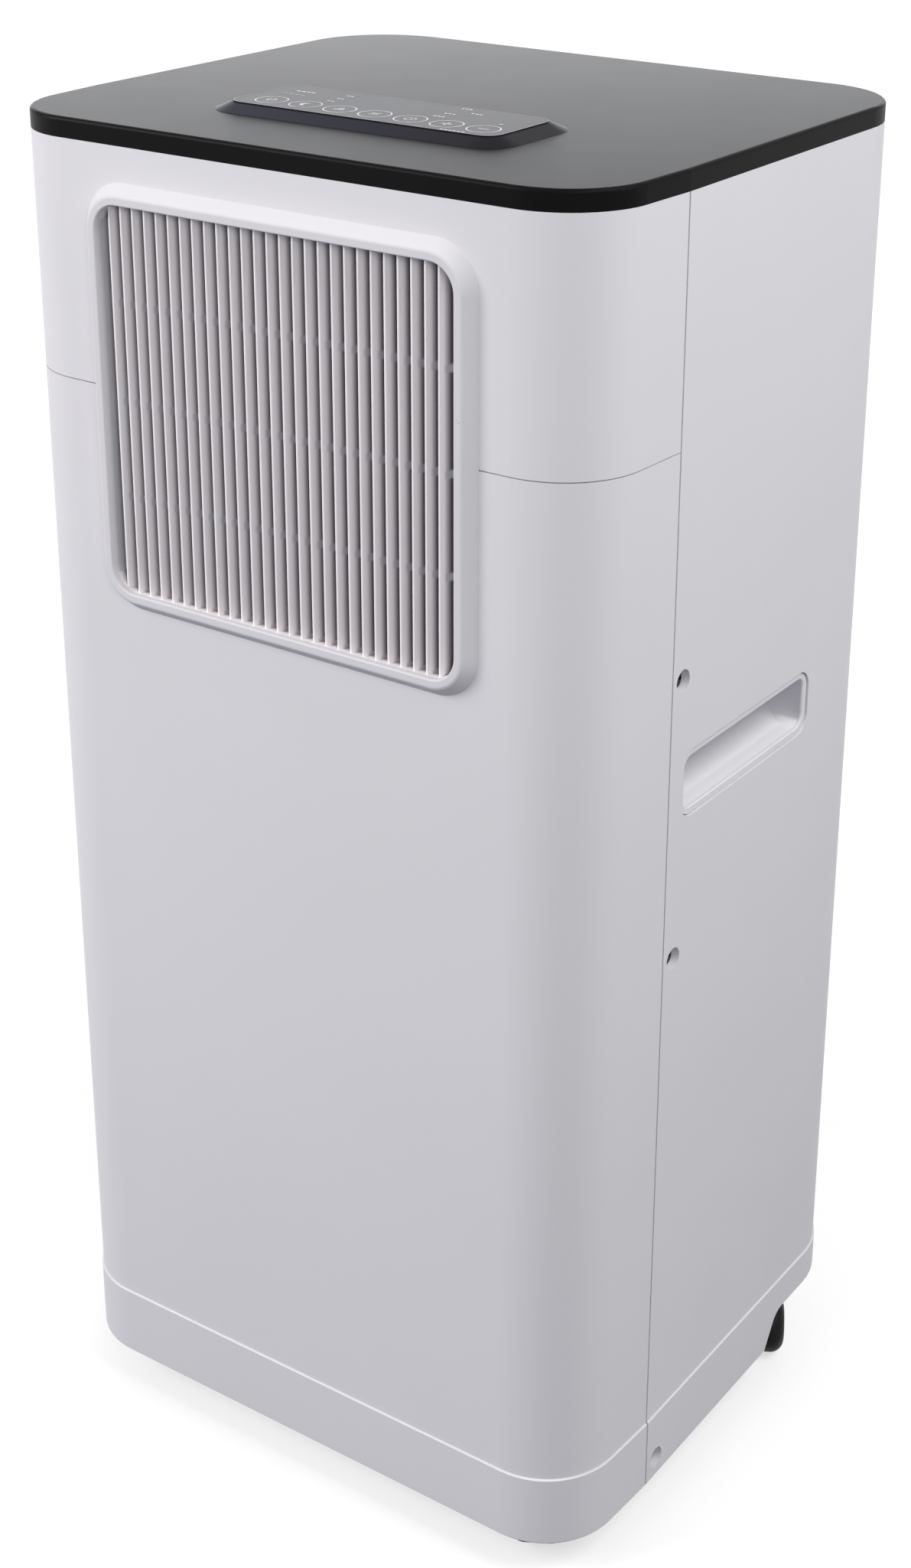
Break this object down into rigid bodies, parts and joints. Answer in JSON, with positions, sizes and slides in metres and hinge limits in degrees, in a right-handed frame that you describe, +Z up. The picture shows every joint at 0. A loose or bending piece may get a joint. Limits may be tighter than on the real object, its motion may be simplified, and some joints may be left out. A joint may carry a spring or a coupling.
{
  "type": "portable air conditioner",
  "caption": "Upright white portable air conditioner on swivel casters: raised front outlet grille, black top with touch keys, side grips, rear filter cover and exhaust collar",
  "frame": {"origin": "centre of the footprint on the floor under the casters", "axes": "+Z up, the outlet grille faces -Y, +X to the right of a viewer in front"},
  "size_m": [0.3316, 0.298, 0.704],
  "materials": {
    "white_case": "satin moulded plastic, cool white",
    "white_grille": "satin moulded plastic, cool white",
    "black_cover": "semi-gloss moulded plastic, black",
    "control_film": "glossy printed film, black",
    "circuit_board": "green solder mask",
    "black_screw": "black zinc plated",
    "zinc_screw": "zinc plated",
    "filter_net": "fine dark net in a moulded frame",
    "soft_rubber": "soft matt rubber",
    "black_plastic": "matt black plastic",
    "grey_base": "matt dark grey plastic",
    "black_caster": "matt black nylon",
    "steel_pin": "ground steel",
    "black_steel": "black paint",
    "fin_aluminium": "thin bare fins",
    "copper_tube": "bare copper",
    "duct_plastic": "grey foamed plastic",
    "fan_plastic": "dark moulded plastic",
    "motor_steel": "grey paint",
    "capacitor_can": "drawn can"
  },
  "bodies": {
    "case": {"rear_shell": "white_case", "front_lower_panel": "white_case", "front_upper_panel": "white_case", "handle_right": "white_case", "handle_left": "white_case", "exhaust_collar": "white_case", "drain_spout": "white_case", "outlet_grille": "white_grille", "top_cover": "black_cover", "control_film": "control_film", "control_board": "circuit_board", "power_board": "circuit_board", "case_screws": "black_screw", "compressor_bolts": "zinc_screw", "compressor_grommets": "soft_rubber", "cord_gland": "black_plastic", "base_pan": "grey_base", "partition_deck": "grey_base", "compressor_can": "black_steel", "compressor_foot_plate": "black_steel", "suction_accumulator": "black_steel", "condenser_fins": "fin_aluminium", "evaporator_fins": "fin_aluminium", "condenser_tubes": "copper_tube", "evaporator_tubes": "copper_tube", "discharge_pipe": "copper_tube", "suction_pipe": "copper_tube", "capillary_tube": "copper_tube", "upper_scroll": "duct_plastic", "lower_scroll": "duct_plastic", "exhaust_box": "duct_plastic", "outlet_duct": "duct_plastic", "electrical_box": "duct_plastic", "upper_fan_motor": "motor_steel", "lower_fan_motor": "motor_steel", "run_capacitor": "capacitor_can"},
    "caster_front_left": {"yoke_front_left": "black_caster"},
    "roller_front_left": {"wheels_front_left": "black_caster", "axle_front_left": "steel_pin"},
    "caster_front_right": {"yoke_front_right": "black_caster"},
    "roller_front_right": {"wheels_front_right": "black_caster", "axle_front_right": "steel_pin"},
    "caster_rear_left": {"yoke_rear_left": "black_caster"},
    "roller_rear_left": {"wheels_rear_left": "black_caster", "axle_rear_left": "steel_pin"},
    "caster_rear_right": {"yoke_rear_right": "black_caster"},
    "roller_rear_right": {"wheels_rear_right": "black_caster", "axle_rear_right": "steel_pin"},
    "upper_fan": {"upper_fan_wheel": "fan_plastic", "upper_fan_shaft": "steel_pin"},
    "lower_fan": {"lower_fan_wheel": "fan_plastic", "lower_fan_shaft": "steel_pin"},
    "intake": {"intake_cover": "white_case", "air_filter": "filter_net"},
    "plug": {"drain_plug": "soft_rubber"}
  },
  "joints": [
    {"name": "swivel_front_left", "type": "hinge", "parent": "case", "child": "caster_front_left", "pos_m": [-0.122, -0.105, 0.041], "axis": [0, 0, 1], "continuous": true},
    {"name": "roll_front_left", "type": "hinge", "parent": "caster_front_left", "child": "roller_front_left", "pos_m": [-0.117, -0.11366, 0.016], "axis": [0.866, 0.5, 0], "continuous": true},
    {"name": "swivel_front_right", "type": "hinge", "parent": "case", "child": "caster_front_right", "pos_m": [0.122, -0.105, 0.041], "axis": [0, 0, 1], "continuous": true},
    {"name": "roll_front_right", "type": "hinge", "parent": "caster_front_right", "child": "roller_front_right", "pos_m": [0.127, -0.11366, 0.016], "axis": [0.866, 0.5, 0], "continuous": true},
    {"name": "swivel_rear_left", "type": "hinge", "parent": "case", "child": "caster_rear_left", "pos_m": [-0.143, 0.089, 0.041], "axis": [0, 0, 1], "continuous": true},
    {"name": "roll_rear_left", "type": "hinge", "parent": "caster_rear_left", "child": "roller_rear_left", "pos_m": [-0.138, 0.08034, 0.016], "axis": [0.866, 0.5, 0], "continuous": true},
    {"name": "swivel_rear_right", "type": "hinge", "parent": "case", "child": "caster_rear_right", "pos_m": [0.143, 0.089, 0.041], "axis": [0, 0, 1], "continuous": true},
    {"name": "roll_rear_right", "type": "hinge", "parent": "caster_rear_right", "child": "roller_rear_right", "pos_m": [0.148, 0.08034, 0.016], "axis": [0.866, 0.5, 0], "continuous": true},
    {"name": "upper_fan_spin", "type": "hinge", "parent": "case", "child": "upper_fan", "pos_m": [-0.012, 0.021, 0.572], "axis": [0, 1, 0], "continuous": true},
    {"name": "lower_fan_spin", "type": "hinge", "parent": "case", "child": "lower_fan", "pos_m": [0.038, 0.021, 0.153], "axis": [0, 1, 0], "continuous": true},
    {"name": "intake_pull", "type": "slide", "parent": "case", "child": "intake", "axis": [0, 1, 0], "range_m": [0, 0.06]},
    {"name": "drain_plug_pull", "type": "slide", "parent": "case", "child": "plug", "axis": [0, 1, 0], "range_m": [0, 0.02]}
  ]
}
